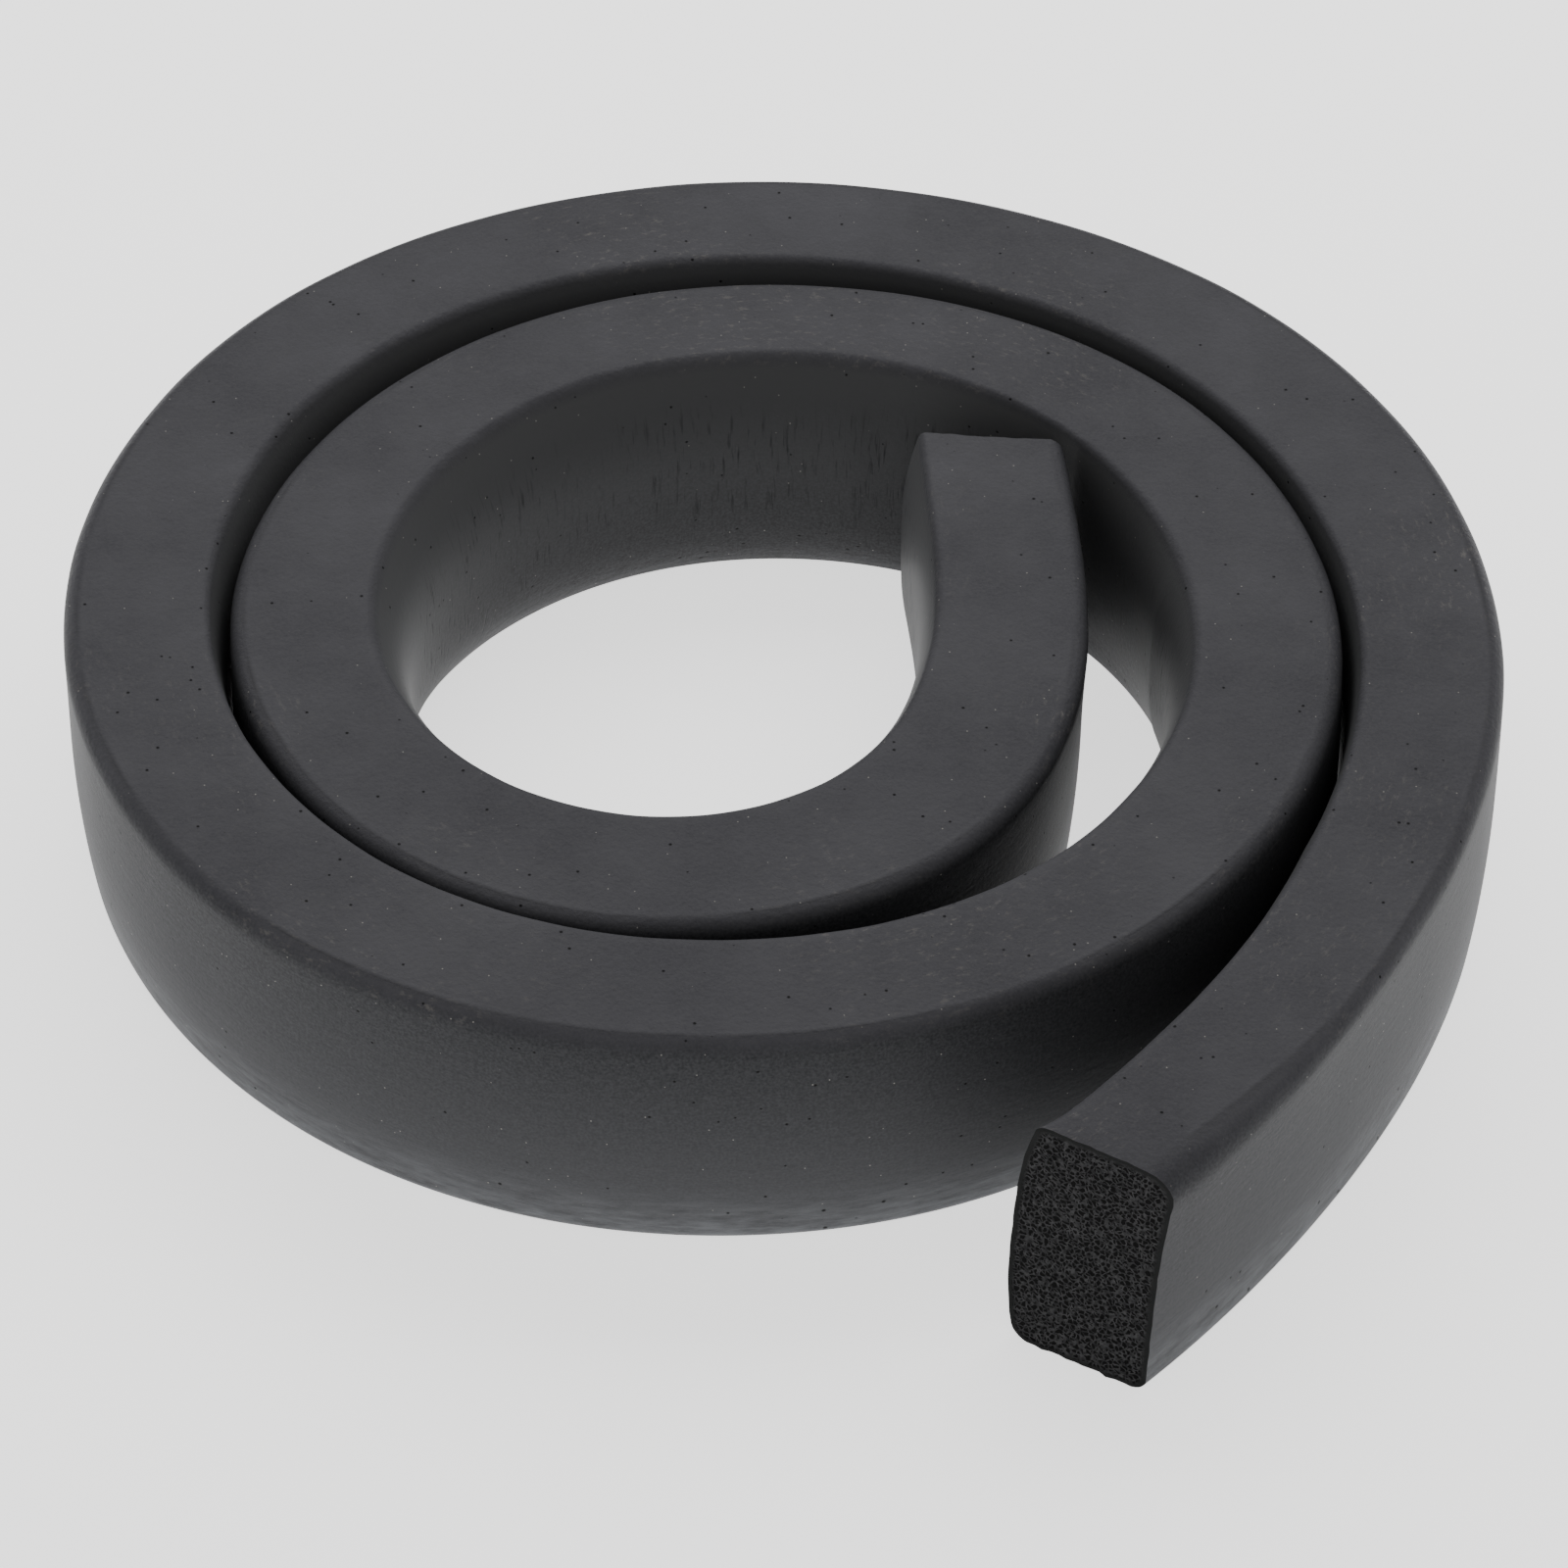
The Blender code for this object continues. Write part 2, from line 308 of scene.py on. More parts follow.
to_cut = STRIP_LENGTH - along
rounder = eased(1 - to_cut / ROUNDER_OVER)[:, None, None]
plain = ring[None] * (1 - rounder) + rounder_ring[None] * rounder
height_share = 2 * plain[..., 1] / STRIP_HEIGHT - 1
belly = np.where(on_outer, 1 - height_share**2, 1 - np.abs(height_share) ** 3)
upper = np.clip(height_share, 0, 1)
flattened = eased((CUT_END_FLATTENS_FROM - to_cut) / CUT_END_FLATTENS_OVER)
outer_swell = OUTER_SWELL + (CUT_END_SWELL - OUTER_SWELL) * flattened
swell = np.where(on_outer, (outer_swell + wall_wander)[:, None], -inner_swell[:, None])
curl = CORNER_CURL * np.clip(1 - to_cut / CURL_LENGTH, 0, 1) ** 2
draw = np.where(on_outer, outer_draw[:, None], -(inner_draw + curl)[:, None])
edge_share = np.abs(plain[..., 0]) / half
across = plain[..., 0] + belly * swell + upper**2 * edge_share * draw
up = plain[..., 1] - upper * (TOP_TILT * curvature[:, None] * plain[..., 0] - top_wander[:, None] / 2)

inner_lean = math.tan(INNER_CUT_SKEW) * np.clip(1 - along / CUT_LEANS_OVER, 0, 1)
outer_lean = np.clip(1 - to_cut / CUT_LEANS_OVER, 0, 1)
forward = (inner_lean - math.tan(OUTER_CUT_SKEW) * outer_lean)[:, None] * plain[..., 0]
forward += math.tan(OUTER_CUT_RAKE) * outer_lean[:, None] * (STRIP_HEIGHT / 2 - plain[..., 1])
flat = line[:, None, :] + outwards[:, None, :] * across[..., None] + ahead[:, None, :] * forward[..., None]
rings = np.concatenate([flat, up[..., None]], axis=2)

# %% [markdown]
# The coil is laid where the solid lies: its left and right sides and its back share the solid's
# box, and the cut end in front falls where it falls.

# %% In place
rings_low, rings_high = rings.reshape(-1, 3).min(axis=0), rings.reshape(-1, 3).max(axis=0)
rings[..., 0] += (solid_low[0] + solid_high[0] - rings_low[0] - rings_high[0]) / 2
rings[..., 1] += solid_high[1] - rings_high[1]
print("skin, mm:", in_mm(rings_high - rings_low))

# %% [markdown]
# ## The cut faces
#
# A knife leaves a flat face with the cells open, inside a thin dense line of skin. Each face is
# filled with smaller and smaller rings towards the middle. Every point remembers how deep it lies
# under the skin, so that the material knows where the cells begin. The knife drags at the skin,
# so the rim isn't quite straight, and along the foot it leaves small nibs.

# %% Ragged rims
RAGGED_WAVES = (0.0057, 0.0031, 0.0019, 0.0011)
RAGGED_BY = 0.00012
NIB_LENGTH, NIBS_BELOW = 0.0006, 0.003

near_foot = np.clip(1 - ring[:, 1] / NIBS_BELOW, 0, 1)
for end, sign, ragged_seed, nib_seed in ((0, -1, 11, 18), (-1, 1, 12, 19)):
    ragged = waves(girth, RAGGED_WAVES, ragged_seed)
    nibs = np.clip(waves(girth, RAGGED_WAVES, nib_seed), 0, 1) ** 2
    pushed = sign * (RAGGED_BY * ragged + NIB_LENGTH * near_foot * nibs)
    rings[end, :, :2] += ahead[end] * pushed[:, None]
    print("rim pushed by up to, mm:", in_mm(np.abs(pushed).max(), 2))

# %% Cut faces
CUT_RINGS = 14
SHORTEST_RUN = 1e-6


def depth_under_skin(outline, points):
    """How far each point lies from the outline, in the plane of the cut."""
    start, end = outline, np.roll(outline, -1, axis=0)
    run = end - start
    run_squared = np.maximum((run**2).sum(axis=1), SHORTEST_RUN**2)
    share = ((points[:, None] - start) * run).sum(axis=2) / run_squared
    nearest = start + np.clip(share, 0, 1)[..., None] * run
    return np.linalg.norm(points[:, None] - nearest, axis=2).min(axis=1)


def cut_face(rim):
    """Rings of points from the rim to the middle of a cut face, and their depths."""
    middle = rim.mean(axis=0)
    inner_rings = [middle + (rim - middle) * (1 - step / CUT_RINGS) for step in range(1, CUT_RINGS)]
    points = np.concatenate(inner_rings + [middle[None]])
    return points, depth_under_skin(rim, points)


# %% The skin's quads
ring_size = len(ring)
skin_points = rings.reshape(-1, 3)
in_ring = np.arange(ring_size)
next_in_ring = (in_ring + 1) % ring_size
station_starts = (np.arange(STATIONS - 1) * ring_size)[:, None]
skin_quads = np.stack([
    station_starts + in_ring, station_starts + next_in_ring,
    station_starts + ring_size + next_in_ring, station_starts + ring_size + in_ring,
], axis=2).reshape(-1, 4)
print("quads of the skin:", len(skin_quads))

# %% The mesh, closed by its cut faces
points, depths = [skin_points], [np.zeros(len(skin_points))]
faces, cut_from = skin_quads.tolist(), len(skin_quads)
for first_ring, flip in ((0, True), ((STATIONS - 1) * ring_size, False)):
    face_points, face_depths = cut_face(skin_points[first_ring : first_ring + ring_size])
    base = sum(len(p) for p in points)
    ring_starts = [first_ring] + [base + step * ring_size for step in range(CUT_RINGS - 1)]
    for outer_start, inner_start in zip(ring_starts, ring_starts[1:]):
        for i in range(ring_size):
            j = (i + 1) % ring_size
            quad = [outer_start + i, outer_start + j, inner_start + j, inner_start + i]
            faces.append(quad[::-1] if flip else quad)
    centre = base + (CUT_RINGS - 1) * ring_size
    for i in range(ring_size):
        fan = [ring_starts[-1] + i, ring_starts[-1] + (i + 1) % ring_size, centre]
        faces.append(fan[::-1] if flip else fan)
    points.append(face_points)
    depths.append(face_depths)

strip_mesh = bpy.data.meshes.new("weatherstrip")
strip_mesh.from_pydata(np.concatenate(points).tolist(), [], faces)
strip_mesh.update()
print("triangles:", sum(len(face) - 2 for face in faces))

# %% [markdown]
# The skin also keeps its place in the straightened strip for its material: how far along a point
# is, and where it lies in the plain section. Streaks that run along or up the strip are drawn in
# these lengths, so that they follow the spiral. Only the rims of the two cuts are sharp edges.

# %% Straightened places and sharp rims, kept on the mesh
depth_values = strip_mesh.attributes.new("depth", "FLOAT", "POINT")
depth_values.data.foreach_set("value", np.concatenate(depths).astype(np.float32))
skin_count, all_count = len(skin_points), sum(len(p) for p in points)
laid = np.zeros((all_count, 3), dtype=np.float32)
laid[:skin_count, 0] = np.repeat(along, ring_size)
laid[:skin_count, 1:] = np.tile(ring, (STATIONS, 1))
laid_values = strip_mesh.attributes.new("laid_straight", "FLOAT_VECTOR", "POINT")
laid_values.data.foreach_set("vector", laid.ravel())

strip_mesh.shade_smooth()
sharp = strip_mesh.attributes.new("sharp_edge", "BOOLEAN", "EDGE")
edge_ends = np.zeros(len(strip_mesh.edges) * 2, dtype=np.int32)
strip_mesh.edges.foreach_get("vertices", edge_ends)
edge_ends = edge_ends.reshape(-1, 2)
on_first = (edge_ends < ring_size).all(axis=1)
on_last = ((edge_ends >= skin_count - ring_size) & (edge_ends < skin_count)).all(axis=1)
sharp.data.foreach_set("value", on_first | on_last)
print("sharp edges:", int((on_first | on_last).sum()))

# %% [markdown]
# ## Materials
#
# Both materials are EPDM sponge rubber, which has an index of about 1.5. Its surface is broken up
# far more finely than a pattern can show, so only a small share of the usual mirror shine is
# left. The moulded skin is charcoal with a slight violet cast and picks up pale dust where it is
# handled, and its walls carry painted light and shade by height. The cut shows holes painted
# black, as painted shade, between dark grey walls. Real cells are about half a millimetre wide
# and real grain is finer than that. Both are drawn coarser, at three quarters of a millimetre and
# at 0.4 to 0.9, because otherwise they blur to an even grey from this far away.

# %% Helpers for colours and nodes
def linear(hex_colour):
    """An sRGB hex colour as the linear values that a shader wants."""
    parts = [int(hex_colour[i : i + 2], 16) / 255 for i in (1, 3, 5)]
    return tuple(c / 12.92 if c <= 0.04045 else ((c + 0.055) / 1.055) ** 2.4 for c in parts) + (1.0,)


def add_node(tree, kind, links=None, values=None, **settings):
    """A node with its settings, the values of its sockets, and the sockets that feed it."""
    node = tree.nodes.new("ShaderNode" + kind)
    for name, value in settings.items():
        setattr(node, name, value)
    for socket, value in (values or {}).items():
        node.inputs[socket].default_value = value
    for socket, source in (links or {}).items():
        tree.links.new(source, node.inputs[socket])
    return next(output for output in node.outputs if output.enabled)


def ramp(start, end, low=0.0, high=1.0):
    """The socket values that map one span of numbers to another."""
    return {"From Min": start, "From Max": end, "To Min": low, "To Max": high}


POLYMER_IOR = 1.5


def blank_material(name, roughness, specular):
    """A new material, its nodes and its shader, with one roughness and one share of shine."""
    material = bpy.data.materials.new(name)
    material.use_nodes = True
    shader = material.node_tree.nodes["Principled BSDF"]
    shader.inputs["Roughness"].default_value = roughness
    shader.inputs["Specular IOR Level"].default_value = specular
    shader.inputs["IOR"].default_value = POLYMER_IOR
    return material, material.node_tree, shader


# %% [markdown]
# ### The moulded skin
#
# The skin is looked up in two ways. Grain, dust patches and pinholes lie in space, so they don't
# care how the strip runs. Flecks, streaks and wrinkles follow the strip, so they are drawn in its
# straightened lengths. From those lengths come soft masks for the top, for the walls' lower band,
# for the inner wall and for the rounded edge. Most of a noise lies between 0.3 and 0.7, and the
# ramps below say which part of that turns into a mark.

# %% EPDM sponge rubber, moulded skin: places
BARE_ROUGHNESS, DUSTY_ROUGHNESS = 0.48, 0.62
SKIN_SHINE = 0.06
ON_TOP = (0.0360, 0.0378)
LOW_BAND = (0.0125, 0.0005)
EDGE_HEIGHTS = (0.0325, 0.0355)
INNER_WALL = (-0.0070, -0.0088)
OUTER_WALL = (0.0066, 0.0078)

skin, tree, shader = blank_material("epdm_sponge_moulded_skin", BARE_ROUGHNESS, SKIN_SHINE)
place = add_node(tree, "TexCoord").node.outputs["Object"]
straight = add_node(tree, "Attribute", attribute_name="laid_straight").node.outputs["Vector"]
lengths = add_node(tree, "SeparateXYZ", {"Vector": straight}).node.outputs
across_strip, height = lengths["Y"], lengths["Z"]

on_top = add_node(tree, "MapRange", {"Value": height}, ramp(*ON_TOP))
low_band = add_node(tree, "MapRange", {"Value": height}, ramp(*LOW_BAND), interpolation_type="SMOOTHSTEP")
inner_wall = add_node(tree, "MapRange", {"Value": across_strip}, ramp(*INNER_WALL))
outer_wall_mask = add_node(tree, "MapRange", {"Value": across_strip}, ramp(*OUTER_WALL))
edge_heights = add_node(tree, "MapRange", {"Value": height}, ramp(*EDGE_HEIGHTS))
edge_band = add_node(tree, "Math", {0: outer_wall_mask, 1: edge_heights}, operation="MULTIPLY")

# %% [markdown]
# The charcoal changes slowly over some centimetres, and a little from grain to grain of the
# mould, which are half a millimetre to a millimetre apart. The outer wall is darkest under the top
# edge and gets paler towards the foot, where the paleness is a painted reflection of the lit table.
# The inner wall goes the other way: it is painted paler near the top, as painted light, and darker
# at the foot, as painted shade that offsets the table's glow. One noise with many octaves could do
# it all, but separate noises can each be given their own strength, and the grain is wanted again
# for the relief.

# %% Charcoal
CLOUD_SIZE, GRAIN_SIZE, FINE_GRAIN_SIZE = 0.030, 0.0009, 0.0004
TOP_DARK, TOP_PALE = "#3e3e42", "#4c4c50"
# The outer wall's pale low tone is a painted reflection of the lit table; the inner wall's pale high tone
# is painted light and its dark low tone painted shade.
OUTER_WALL_HIGH, OUTER_WALL_PAINTED_REFLECTION = "#2b2c2e", "#444547"
INNER_WALL_PAINTED_LIGHT, INNER_WALL_PAINTED_SHADE = "#4f5051", "#222223"
PALE_GRAIN = "#505053"
WALL_HEIGHTS = (0.034, 0.004)

clouds = add_node(tree, "TexNoise", {"Vector": place},
                  {"Scale": 1 / CLOUD_SIZE, "Detail": 8.0, "Roughness": 0.68})
grain = add_node(tree, "TexNoise", {"Vector": place},
                 {"Scale": 1 / GRAIN_SIZE, "Detail": 3.0, "Roughness": 0.65})
fine = add_node(tree, "TexNoise", {"Vector": place}, {"Scale": 1 / FINE_GRAIN_SIZE, "Detail": 2.0})
cloud_share = add_node(tree, "MapRange", {"Value": clouds}, ramp(0.35, 0.65))
charcoal = add_node(tree, "Mix", {"Factor": cloud_share}, {"A": linear(TOP_DARK), "B": linear(TOP_PALE)},
                    data_type="RGBA")
# These tones by height on the walls are painted light, shade and reflection.
towards_foot = add_node(tree, "MapRange", {"Value": height}, ramp(*WALL_HEIGHTS))
outer_tone_painted_reflection = add_node(tree, "Mix", {"Factor": towards_foot},
                      {"A": linear(OUTER_WALL_HIGH), "B": linear(OUTER_WALL_PAINTED_REFLECTION)}, data_type="RGBA")
inner_tone_painted_light_and_shade = add_node(tree, "Mix", {"Factor": towards_foot},
                      {"A": linear(INNER_WALL_PAINTED_LIGHT), "B": linear(INNER_WALL_PAINTED_SHADE)}, data_type="RGBA")
walls_painted_light_and_shade = add_node(tree, "Mix", {"Factor": inner_wall, "A": outer_tone_painted_reflection, "B": inner_tone_painted_light_and_shade},
                      data_type="RGBA")
wall_tone = add_node(tree, "Mix", {"Factor": on_top, "A": walls_painted_light_and_shade, "B": charcoal}, data_type="RGBA")
grain_share = add_node(tree, "MapRange", {"Value": fine}, ramp(0.30, 0.72, 0.0, 0.38))
grained = add_node(tree, "Mix", {"Factor": grain_share, "A": wall_tone}, {"B": linear(PALE_GRAIN)},
                   data_type="RGBA")
print("clouds and grain, mm:", in_mm([CLOUD_SIZE, GRAIN_SIZE, FINE_GRAIN_SIZE]))

# %% [markdown]
# Dust is brown grey. It lies in patches some centimetres wide on the top, and fainter along the
# rounded outer edge. Each patch is broken into flecks a millimetre or two long, which lie along
# the strip because that is the way it gets wiped. So a wide noise chooses the patches and a fine
# one the flecks, and the two are multiplied: no fleck lies alone on a clean stretch.

# %% Dust
DUST_PATCH_SIZE = 0.045
FLECK_LENGTH, FLECK_WIDTH = 0.0020, 0.0010
EDGE_DUST_SHARE = 0.4
DUST_STRENGTH = 0.5
BROWN_GREY = "#7d7a75"

dusty_patch = add_node(tree, "TexNoise", {"Vector": place},
                       {"Scale": 1 / DUST_PATCH_SIZE, "Detail": 3.0, "Roughness": 0.55})
patch_mask = add_node(tree, "MapRange", {"Value": dusty_patch}, ramp(0.50, 0.66))
on_top_or_edge = add_node(tree, "Math", {0: edge_band, 2: on_top}, {1: EDGE_DUST_SHARE},
                          operation="MULTIPLY_ADD", use_clamp=True)
top_patch = add_node(tree, "Math", {0: patch_mask, 1: on_top_or_edge}, operation="MULTIPLY")
fleck_place = add_node(tree, "VectorMath", {0: straight},
                       {1: (1 / FLECK_LENGTH, 1 / FLECK_WIDTH, 1 / FLECK_WIDTH)}, operation="MULTIPLY")
flecks = add_node(tree, "TexNoise", {"Vector": fleck_place},
                  {"Scale": 1.0, "Detail": 5.0, "Roughness": 0.75})
dust_mask = add_node(tree, "MapRange", {"Value": flecks}, ramp(0.55, 0.72))
dust_there = add_node(tree, "Math", {0: dust_mask, 1: top_patch}, operation="MULTIPLY")
dust = add_node(tree, "Math", {0: dust_there}, {1: DUST_STRENGTH}, operation="MULTIPLY")
dusted = add_node(tree, "Mix", {"Factor": dust, "A": grained}, {"B": linear(BROWN_GREY)}, data_type="RGBA")
print("dust flecks, mm:", in_mm([FLECK_LENGTH, FLECK_WIDTH]))

# %% [markdown]
# Where the mould's two halves met, a faint crease runs along the top's outer edge. It is about
# half a millimetre wide and painted a shade darker, as painted shade in the fold, and here and
# there it fades away. A groove in the mesh would be as sharp everywhere. A line drawn by its
# distance from the end of the rounded corner can fade.

# %% Crease
CREASE_ACROSS = half - TOP_OUTER_RADIUS * (1 - math.cos(TOP_OUTER_ARC))
CREASE_FADES_OVER = 0.0006
CREASE_STRENGTH = 0.45
# The crease's darker line is painted shade in the fold.
CREASE_PAINTED_SHADE = "#202022"

off_crease = add_node(tree, "Math", {0: across_strip}, {1: CREASE_ACROSS}, operation="SUBTRACT")
beside_crease = add_node(tree, "Math", {0: off_crease}, operation="ABSOLUTE")
crease_line = add_node(tree, "MapRange", {"Value": beside_crease}, ramp(CREASE_FADES_OVER, 0.0))
crease_comes_and_goes = add_node(tree, "MapRange", {"Value": clouds}, ramp(0.42, 0.60, 0.1, 1.0))
crease_on_top = add_node(tree, "Math", {0: crease_line, 1: on_top}, operation="MULTIPLY")
crease = add_node(tree, "Math", {0: crease_on_top, 1: crease_comes_and_goes}, operation="MULTIPLY")
crease_share = add_node(tree, "Math", {0: crease}, {1: CREASE_STRENGTH}, operation="MULTIPLY")
crease_shaded = add_node(tree, "Mix", {"Factor": crease_share, "A": dusted}, {"B": linear(CREASE_PAINTED_SHADE)},
                   data_type="RGBA")
print("crease from the middle of the strip, mm:", in_mm(CREASE_ACROSS))

# %% [markdown]
# The lower band of the walls has worn against benches and floors: pale streaks run lengthwise,
# about a millimetre high and five long. Their paleness is partly that wear and partly a painted
# reflection of the lit table at the walls' foot. A round noise becomes streaks when its place is
# squeezed in one direction, so no picture has to be wrapped round the strip. The inner wall is
# sheltered and shows a fifth of them.

# %% Rubbed lower band
STREAK_LENGTH, STREAK_DEPTH, STREAK_HEIGHT = 0.0055, 0.004, 0.0013
INNER_WALL_RUBBED = 0.2
# The pale grey of the streaks is partly wear and partly a painted reflection of the lit table.
RUBBED_AND_SHEEN_GREY = "#636568"

lengthwise = add_node(tree, "VectorMath", {0: straight},
                      {1: (1 / STREAK_LENGTH, 1 / STREAK_DEPTH, 1 / STREAK_HEIGHT)}, operation="MULTIPLY")
streaks = add_node(tree, "TexNoise", {"Vector": lengthwise},
                   {"Scale": 1.0, "Detail": 5.0, "Roughness": 0.7})
streak_mask = add_node(tree, "MapRange", {"Value": streaks}, ramp(0.34, 0.66))
outside_share = add_node(tree, "MapRange", {"Value": inner_wall}, ramp(0.0, 1.0, 1.0, INNER_WALL_RUBBED))
rubbed_and_sheen_band = add_node(tree, "Math", {0: low_band, 1: outside_share}, operation="MULTIPLY")
rubbed_and_sheen = add_node(tree, "Math", {0: rubbed_and_sheen_band, 1: streak_mask}, operation="MULTIPLY")
walls_rubbed_and_sheen = add_node(tree, "Mix", {"Factor": rubbed_and_sheen, "A": crease_shaded}, {"B": linear(RUBBED_AND_SHEEN_GREY)},
                        data_type="RGBA")
print("rubbed up to a height of, mm:", in_mm(LOW_BAND[0]))

# %% [markdown]
# On the inside of the bend the squeezed skin wrinkles: short upright lines below the edge, about
# half a millimetre apart and some millimetres high. They are streaks again, squeezed the other
# way. They come in groups, which the clouds of the charcoal choose.

# %% Wrinkles of the inner wall
WRINKLES_APART, WRINKLE_DEPTH, WRINKLE_HEIGHT = 0.0006, 0.004, 0.0045
WRINKLES_BELOW = (0.033, 0.026)
# The wrinkles' dark lines are painted shade in their grooves.
WRINKLE_PAINTED_SHADE = "#28292a"

upright = add_node(tree, "VectorMath", {0: straight},
                   {1: (1 / WRINKLES_APART, 1 / WRINKLE_DEPTH, 1 / WRINKLE_HEIGHT)}, operation="MULTIPLY")
wrinkle_noise = add_node(tree, "TexNoise", {"Vector": upright},
                         {"Scale": 1.0, "Detail": 2.0, "Roughness": 0.5})
wrinkle_lines = add_node(tree, "MapRange", {"Value": wrinkle_noise}, ramp(0.57, 0.78))
wrinkled_here = add_node(tree, "MapRange", {"Value": clouds}, ramp(0.42, 0.56))
below_edge = add_node(tree, "MapRange", {"Value": height}, ramp(*WRINKLES_BELOW))
wrinkles_inside = add_node(tree, "Math", {0: wrinkle_lines, 1: inner_wall}, operation="MULTIPLY")
wrinkles_below = add_node(tree, "Math", {0: wrinkles_inside, 1: below_edge}, operation="MULTIPLY")
wrinkles = add_node(tree, "Math", {0: wrinkles_below, 1: wrinkled_here}, operation="MULTIPLY")
wrinkles_shaded = add_node(tree, "Mix", {"Factor": wrinkles, "A": walls_rubbed_and_sheen}, {"B": linear(WRINKLE_PAINTED_SHADE)},
                    data_type="RGBA")
print("wrinkles, mm:", in_mm(WRINKLES_APART), "apart and", in_mm(WRINKLE_HEIGHT), "high")

# %% [markdown]
# Specks of talc are up to a fifth of a millimetre wide and pinholes up to two fifths. Both are
# dots round the points of a Voronoi pattern, and their radii are shares of its step: a point that
# lies just under the skin gives a smaller dot. The dots are drawn slightly larger than real so
# that they still show. Pinholes are larger and commoner low on the walls.

# %% Talc specks and pinholes
SPECKS_PER_METRE, SPECK_RADII = 430.0, (0.058, 0.025)
HOLES_PER_METRE, HOLE_RADII = 290.0, (0.076, 0.036)
HOLES_GROW_LOW_DOWN = 0.035
# Pinholes are painted near black: painted shade inside each hole.
TALC, HOLE_PAINTED_SHADE = "#8d8b86", "#141414"

speck_distance = add_node(tree, "TexVoronoi", {"Vector": place}, {"Scale": SPECKS_PER_METRE})
specks = add_node(tree, "MapRange", {"Value": speck_distance}, ramp(*SPECK_RADII))
specked = add_node(tree, "Mix", {"Factor": specks, "A": wrinkles_shaded}, {"B": linear(TALC)}, data_type="RGBA")
hole_distance = add_node(tree, "TexVoronoi", {"Vector": place}, {"Scale": HOLES_PER_METRE})
hole_size = add_node(tree, "Math", {0: low_band, 2: hole_distance}, {1: -HOLES_GROW_LOW_DOWN},
                     operation="MULTIPLY_ADD")
holes = add_node(tree, "MapRange", {"Value": hole_size}, ramp(*HOLE_RADII))
holes_shaded = add_node(tree, "Mix", {"Factor": holes, "A": specked}, {"B": linear(HOLE_PAINTED_SHADE)}, data_type="RGBA")
tree.links.new(holes_shaded, shader.inputs["Base Color"])
print("specks and pinholes lie apart, mm:", in_mm([1 / SPECKS_PER_METRE, 1 / HOLES_PER_METRE]))

# %% [markdown]
# Relief and gloss: the grain is a few hundredths of a millimetre deep on the top and finer on the
# walls, and the lower band has lengthwise ridges. The crease, the wrinkles and the pinholes are
# sunk. All of these are heights, so they are added up and go through one bump. Dust is duller
# than bare skin.

# %% Relief and gloss of the skin
RELIEF_STEP, RELIEF_STRENGTH = 0.00010, 0.55
GRAIN_ON_WALLS, GRAIN_ON_TOP = 0.9, 2.8
WALL_RIDGES = 0.7
RIDGE_RELIEF, CREASE_RELIEF, WRINKLE_RELIEF, HOLE_RELIEF = 2.2, -1.2, -1.6, -2.5

grain_depth = add_node(tree, "MapRange", {"Value": on_top}, ramp(0.0, 1.0, GRAIN_ON_WALLS, GRAIN_ON_TOP))
wall_share = add_node(tree, "Math", {0: outer_wall_mask, 2: low_band}, {1: WALL_RIDGES},
                      operation="MULTIPLY_ADD", use_clamp=True)
ridges = add_node(tree, "Math", {0: streaks, 1: wall_share}, operation="MULTIPLY")
relief = add_node(tree, "Math", {0: grain, 1: grain_depth}, operation="MULTIPLY")
for form, step in (
    (ridges, RIDGE_RELIEF), (crease, CREASE_RELIEF), (wrinkles, WRINKLE_RELIEF), (holes, HOLE_RELIEF)
):
    relief = add_node(tree, "Math", {0: form, 2: relief}, {1: step}, operation="MULTIPLY_ADD")
skin_bump = add_node(tree, "Bump", {"Height": relief},
                     {"Strength": RELIEF_STRENGTH, "Distance": RELIEF_STEP})
tree.links.new(skin_bump, shader.inputs["Normal"])
gloss = add_node(tree, "MapRange", {"Value": dust}, ramp(0.0, 1.0, BARE_ROUGHNESS, DUSTY_ROUGHNESS))
tree.links.new(gloss, shader.inputs["Roughness"])
print("nodes in the skin:", len(tree.nodes))

# %% [markdown]
# ### The cut cells
#
# Cells are bubbles pressed against each other, which is what a Voronoi pattern draws. The
# distance to a cell's edge gives thin walls and deep holes in one step, and a little noise on the
# places where it is looked up bends the walls. The pattern is taken in space, so the knife's flat
# face slices through it as it does through real sponge. The skin is dense, so the cells begin
# half a millimetre to a millimetre inside the rim.

# %% EPDM sponge rubber, cut cells
CUT_ROUGHNESS, CUT_SHINE = 0.6, 0.04
CELL_SIZE = 0.00075
BEND_SIZE = 0.0008
CELL_WALL = (0.12, 0.17)
SKIN_GIVES_WAY = (0.0005, 0.0011)
PALE_WALLS_APART = 0.0007
CELL_DEPTH, CELL_RELIEF = 0.0004, 0.9
# The open cells are painted near black: painted shade inside them.
WALL_DARK, WALL_PALE, SKIN_SECTION, HOLLOW_PAINTED_SHADE = "#1e1e1f", "#3b3b3c", "#191a1a", "#010101"

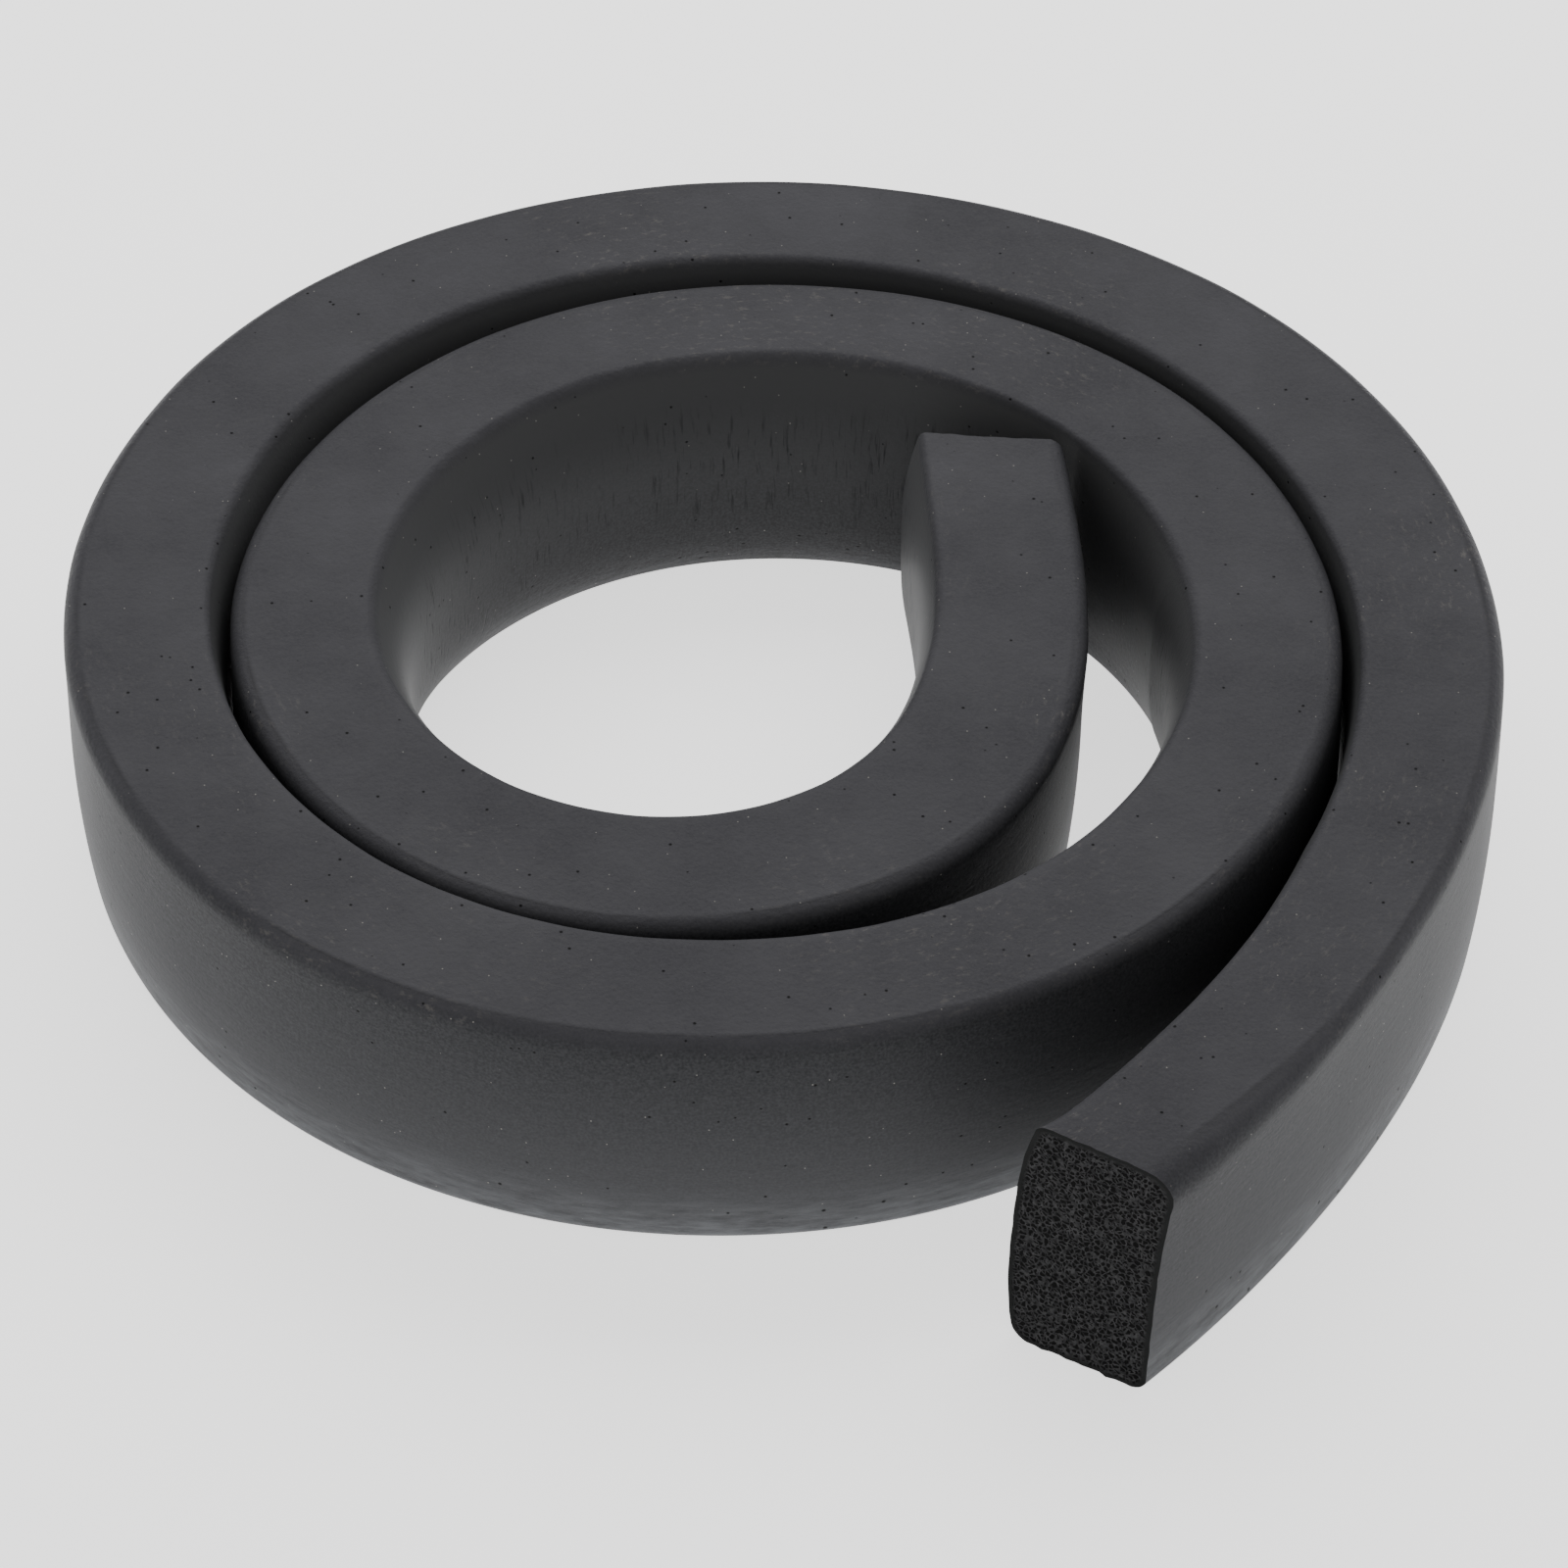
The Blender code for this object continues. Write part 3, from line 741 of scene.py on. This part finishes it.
cells, tree, shader = blank_material("epdm_sponge_cut_cells", CUT_ROUGHNESS, CUT_SHINE)
place = add_node(tree, "TexCoord").node.outputs["Object"]
depth = add_node(tree, "Attribute", attribute_name="depth").node.outputs["Fac"]
bending = add_node(tree, "TexNoise", {"Vector": place}, {"Scale": 1 / BEND_SIZE, "Detail": 1.0})
bent_place = add_node(tree, "VectorMath", {0: bending.node.outputs["Color"], 2: place},
                      {1: (BEND_SIZE, BEND_SIZE, BEND_SIZE)}, operation="MULTIPLY_ADD")
bubbles = add_node(tree, "TexVoronoi", {"Vector": bent_place}, {"Scale": 1 / CELL_SIZE},
                   feature="DISTANCE_TO_EDGE")
walls = add_node(tree, "MapRange", {"Value": bubbles}, ramp(*CELL_WALL, 1.0, 0.0))
in_skin = add_node(tree, "MapRange", {"Value": depth}, ramp(*SKIN_GIVES_WAY, 1.0, 0.0))
rubber = add_node(tree, "Math", {0: walls, 1: in_skin}, operation="MAXIMUM")
wall_light = add_node(tree, "TexNoise", {"Vector": place}, {"Scale": 1 / PALE_WALLS_APART, "Detail": 2.0})
pale_share = add_node(tree, "MapRange", {"Value": wall_light}, ramp(0.35, 0.68))
wall_colour = add_node(tree, "Mix", {"Factor": pale_share},
                       {"A": linear(WALL_DARK), "B": linear(WALL_PALE)}, data_type="RGBA")
skin_line = add_node(tree, "Mix", {"Factor": in_skin, "A": wall_colour}, {"B": linear(SKIN_SECTION)},
                     data_type="RGBA")
cell_colour = add_node(tree, "Mix", {"Factor": rubber, "B": skin_line}, {"A": linear(HOLLOW_PAINTED_SHADE)},
                       data_type="RGBA")
tree.links.new(cell_colour, shader.inputs["Base Color"])
cell_bump = add_node(tree, "Bump", {"Height": rubber}, {"Strength": CELL_RELIEF, "Distance": CELL_DEPTH})
tree.links.new(cell_bump, shader.inputs["Normal"])
print("nodes in the cut cells:", len(tree.nodes))

# %% The strip stands for the solid
strip_mesh.materials.append(skin)
strip_mesh.materials.append(cells)
cut_index = np.zeros(len(faces), dtype=np.int32)
cut_index[cut_from:] = 1
strip_mesh.polygons.foreach_set("material_index", cut_index)
strip = bpy.data.objects.new("weatherstrip", strip_mesh)
bpy.context.scene.collection.objects.link(strip)
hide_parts(STRIP_SOLID)
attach(strip, "root")
print("faces with skin:", cut_from, " faces with cut cells:", len(faces) - cut_from)

# %% [markdown]
# ## Floor and light
#
# The strip lies on a lit white table, as small goods do when they are pictured: the main light
# comes from a wide soft panel behind it, a pale room fills in from all round, and the table's own
# glow lights the walls from below. So the tops are even, the rounded edge that faces the camera is
# dark, and there is hardly a shadow.

# %% Floor
FLOOR_SIZE = 6.0
TABLE_WHITE, TABLE_GLOW = "#f2f2f2", 1.4
TABLE_ROUGHNESS, TABLE_SHINE = 0.9, 0.2

side = FLOOR_SIZE / 2
corners = [(-side, -side, 0), (side, -side, 0), (side, side, 0), (-side, side, 0)]
floor_mesh = bpy.data.meshes.new("floor")
floor_mesh.from_pydata(corners, [], [(0, 1, 2, 3)])
floor = bpy.data.objects.new("floor", floor_mesh)
bpy.context.scene.collection.objects.link(floor)
white, _, shader = blank_material("white_table", TABLE_ROUGHNESS, TABLE_SHINE)
shader.inputs["Base Color"].default_value = linear(TABLE_WHITE)
shader.inputs["Emission Color"].default_value = (1.0, 1.0, 1.0, 1.0)
shader.inputs["Emission Strength"].default_value = TABLE_GLOW
floor_mesh.materials.append(white)
print("table, m:", FLOOR_SIZE, "square")

# %% Lights
PANEL_PLACE, PANEL_LOOKS_AT = Vector((0.0, 0.8, 0.9)), Vector((0.0, 0.0, 0.0))
PANEL_WIDTH, PANEL_DEPTH, PANEL_POWER = 1.6, 1.0, 13.0
ROOM_COLOUR, ROOM_LIGHT = "#e8e6e4", 0.55

panel_light = bpy.data.lights.new("panel_behind", "AREA")
panel_light.shape = "RECTANGLE"
panel_light.size, panel_light.size_y = PANEL_WIDTH, PANEL_DEPTH
panel_light.energy = PANEL_POWER
panel = bpy.data.objects.new("panel_behind", panel_light)
panel.location = PANEL_PLACE
panel.rotation_euler = (PANEL_LOOKS_AT - PANEL_PLACE).to_track_quat("-Z", "Y").to_euler()
bpy.context.scene.collection.objects.link(panel)

world = bpy.data.worlds.new("pale_room")
world.use_nodes = True
background = world.node_tree.nodes["Background"]
background.inputs["Color"].default_value = linear(ROOM_COLOUR)
background.inputs["Strength"].default_value = ROOM_LIGHT
bpy.context.scene.world = world
print("panel, W:", PANEL_POWER, " room:", ROOM_LIGHT, " table:", TABLE_GLOW)
